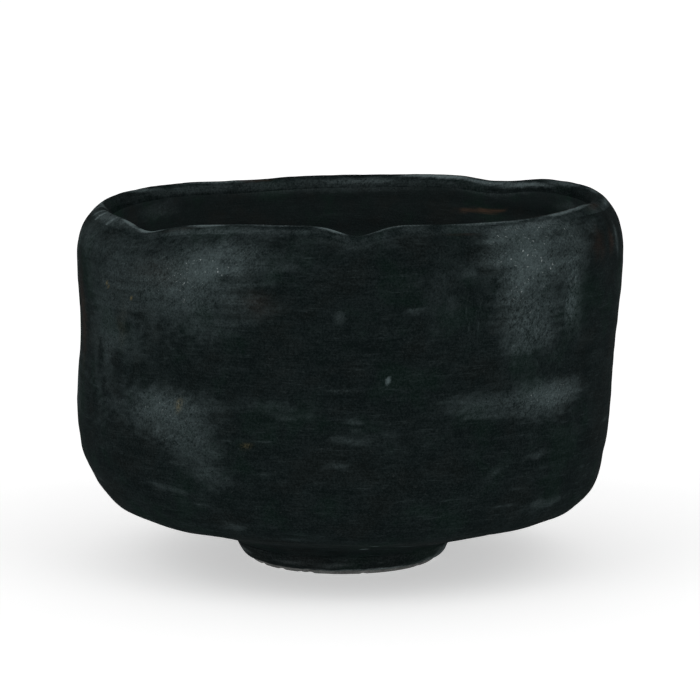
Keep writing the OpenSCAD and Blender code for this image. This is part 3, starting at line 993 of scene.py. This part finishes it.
# The place of a mark on the foot is its height
FLANK_BLOOM = [
    (-62, 0.6, 9, 0.8, 0, 0.7, 0.9), (-90, 0.4, 14, 0.7, 0, 0.5, 1.0), (-96, 2.4, 5, 1.3, 0, 0.16, 1.0),
    (-12, 2.5, 9, 3, 0, 0.4, 1.0), (-30, 1.2, 8, 1.2, 0, 0.4, 1.0), (-118, 2.5, 7, 1.2, 0, 0.14, 1.0),
    (30, 2, 9, 1.2, 0, 0.3, 1.0), (75, 0.5, 12, 0.7, 0, 0.5, 1.0), (110, 3, 8, 1.2, 0, 0.3, 1.0),
    (160, 0.5, 12, 0.7, 0, 0.5, 1.0), (-160, 3, 7, 1.2, 0, 0.3, 1.0),
]
flank_heights = (1 - share[:, 0]) * foot_h
flank_paint = painted(flank_skin, flank_heights, FLANK_BLOOM, [], [], lambda height: height)
flank_coat = band(
    "foot_glaze_coat",
    np.concatenate([flank_skin, flank_hidden]),
    foot_material,
    np.concatenate([flank_paint, np.zeros((*flank_hidden.shape[:2], 4))]),
)
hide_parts("foot_glaze")

# ---------------------------------------------------------------- the coat in the foot's well

# The coat's uneven lower edge: how far it stops above bare_h, and how much that changes
WELL_BARE, SLOW_EDGE, QUICK_EDGE = 0.5, 0.35, 0.15
# The bend between wall and roof and the room after it, the nub's narrowness, the roof's relief
BEND_R = 1.2 * FOOT_T
NUB_NARROWER, BEND_GAP = 2.2, 0.5
ROOF_SPIRAL_H, ROOF_SPIRAL_STEP, ROOF_LUMPS = 0.16, 3.4, (0.1, (4, 4, 4))
SPIRAL_IN_FROM_TO, SPIRAL_OUT_FROM_TO = (0.5, 4), (9, 12)
# The coat's hidden side, from the nub out to the wall of the well
well_hidden = [
    (NEAR_AXIS, ceiling_h - nub_h),
    (nub_r / 2, ceiling_h - nub_h / 2),
    (nub_r, ceiling_h),
    (well_r - 1, ceiling_h),
    (well_r, ceiling_h - 1),
]
hidden_rows = ring_of(*[np.array(column)[:, None] for column in zip(*well_hidden)])

well_edge = bare_h + WELL_BARE + SLOW_EDGE * uneven(well_r, 41, 7) + QUICK_EDGE * uneven(well_r, 42, 2.2)
edge_top = well_edge + FOOT_T / 2
edge_turn = np.linspace(0, math.pi, 7)[:, None]
edge_r = well_r - FOOT_T / 2 + FOOT_T / 2 * np.cos(edge_turn)
edge_rows = ring_of(edge_r, edge_top - FOOT_T / 2 * np.sin(edge_turn))

wall_share = np.linspace(0.12, 1, 8)[:, None]
wall_top = ceiling_h - FOOT_T - BEND_R
wall_rows = ring_of(well_r - FOOT_T + 0 * wall_share, edge_top + wall_share * (wall_top - edge_top))

bend_turn = np.linspace(0.15, 1, 6)[:, None] * math.pi / 2
bend_out = well_r - FOOT_T - BEND_R * (1 - np.cos(bend_turn))
bend_rows = ring_of(bend_out, ceiling_h - FOOT_T - BEND_R * (1 - np.sin(bend_turn)))

across_r = np.linspace(well_r - FOOT_T - BEND_R - BEND_GAP, NEAR_AXIS, 34)[:, None]
nub = nub_h * bell(across_r, nub_r / NUB_NARROWER)
roof_rows = ring_of(across_r, ceiling_h - FOOT_T - nub)
spiral = ROOF_SPIRAL_H * np.sin(2 * np.pi * across_r / ROOF_SPIRAL_STEP + foot_turn)
spiral *= smooth(*SPIRAL_IN_FROM_TO, across_r) * (1 - smooth(*SPIRAL_OUT_FROM_TO, across_r))
roof_rows[..., 2] += spiral + lumps(roof_rows, ROOF_LUMPS, 43)

well_grid = np.concatenate([hidden_rows, edge_rows, wall_rows, bend_rows, roof_rows])
well_coat = capped(
    "well_glaze_coat",
    well_grid,
    ceiling_h - nub_h,
    ceiling_h - nub_h - FOOT_T,
    foot_material,
    np.zeros((*well_grid.shape[:2], 4)),
)
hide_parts("well_glaze")

# ---------------------------------------------------------------- floor, light and camera

# Half the floor's size in metres, how pale and rough it is, and how much it glows
FLOOR_HALF, FLOOR_TONE, FLOOR_ROUGH, FLOOR_GLOW = 8.0, 0.93, 0.9, 0.48
# The two suns: how far to each side and how high, how strong, and how wide their soft discs are
SUN_TURN, SUN_ELEVATION, SUN_STRENGTH, SUN_SPREAD = 50, 40, 0.3, 40
# The camera's place and what it looks at, its lens and the width of its sensor
CAMERA_PLACE, CAMERA_AIM = (1.46, -700, 153.8), (1.46, 0, 45.9)
CAMERA_LENS, CAMERA_SENSOR = 165.9, 36
# The room's light: full from below up to the first of these upward slopes, dim from the second up
FULL_TO, DIM_FROM, FULL_LIGHT, DIM_LIGHT = 0.10, 0.30, 1.0, 0.52


def make_floor():
    """A pale floor that glows a little, like a light table, so that the shadows stay soft."""
    corners = [(-1, -1), (1, -1), (1, 1), (-1, 1)]
    mesh = bpy.data.meshes.new("floor")
    mesh.from_pydata([(x * FLOOR_HALF, y * FLOOR_HALF, 0) for x, y in corners], [], [(0, 1, 2, 3)])
    floor = bpy.data.objects.new("floor", mesh)
    bpy.context.scene.collection.objects.link(floor)
    paint = bpy.data.materials.new("pale_floor")
    paint.use_nodes = True
    surface = paint.node_tree.nodes["Principled BSDF"]
    surface.inputs["Base Color"].default_value = (FLOOR_TONE, FLOOR_TONE, FLOOR_TONE, 1)
    surface.inputs["Roughness"].default_value = FLOOR_ROUGH
    surface.inputs["Specular IOR Level"].default_value = 0.0
    surface.inputs["Emission Color"].default_value = (1, 1, 1, 1)
    surface.inputs["Emission Strength"].default_value = FLOOR_GLOW
    mesh.materials.append(paint)


def add_sun(name, azimuth):
    """A soft, even light from that side; azimuth 0 is from the camera's."""
    light = bpy.data.lights.new(name, "SUN")
    light.energy = SUN_STRENGTH
    light.angle = math.radians(SUN_SPREAD)
    sun = bpy.data.objects.new(name, light)
    turn, rise = math.radians(azimuth), math.radians(SUN_ELEVATION)
    level = math.cos(rise)
    towards = Vector((math.sin(turn) * level, -math.cos(turn) * level, math.sin(rise)))
    sun.rotation_euler = towards.to_track_quat("Z", "Y").to_euler()
    bpy.context.scene.collection.objects.link(sun)


def make_camera():
    """The view: slightly above the rim, from the notch's side."""
    camera = bpy.data.objects.new("camera", bpy.data.cameras.new("camera"))
    camera.data.lens = CAMERA_LENS
    camera.data.sensor_width = CAMERA_SENSOR
    camera.location = Vector(CAMERA_PLACE) * MM
    aim = Vector(CAMERA_AIM) * MM
    camera.rotation_euler = (aim - camera.location).to_track_quat("-Z", "Y").to_euler()
    bpy.context.scene.collection.objects.link(camera)
    bpy.context.scene.camera = camera


def make_world():
    """An even white room, brightest low down, where it is the backdrop."""
    world = bpy.data.worlds.new("studio")
    bpy.context.scene.world = world
    world.use_nodes = True
    tree = world.node_tree
    sky = tree.nodes["Background"]
    sky.inputs["Color"].default_value = (1, 1, 1, 1)
    way = tree.nodes.new("ShaderNodeTexCoord").outputs["Generated"]
    split = tree.nodes.new("ShaderNodeSeparateXYZ")
    fade = tree.nodes.new("ShaderNodeMapRange")
    fade.inputs["From Min"].default_value = FULL_TO
    fade.inputs["From Max"].default_value = DIM_FROM
    fade.inputs["To Min"].default_value = FULL_LIGHT
    fade.inputs["To Max"].default_value = DIM_LIGHT
    tree.links.new(way, split.inputs[0])
    tree.links.new(split.outputs["Z"], fade.inputs["Value"])
    tree.links.new(fade.outputs["Result"], sky.inputs["Strength"])


make_floor()
make_camera()
make_world()
add_sun("left", -SUN_TURN)
add_sun("right", SUN_TURN)
bpy.context.scene.view_settings.view_transform = "Standard"
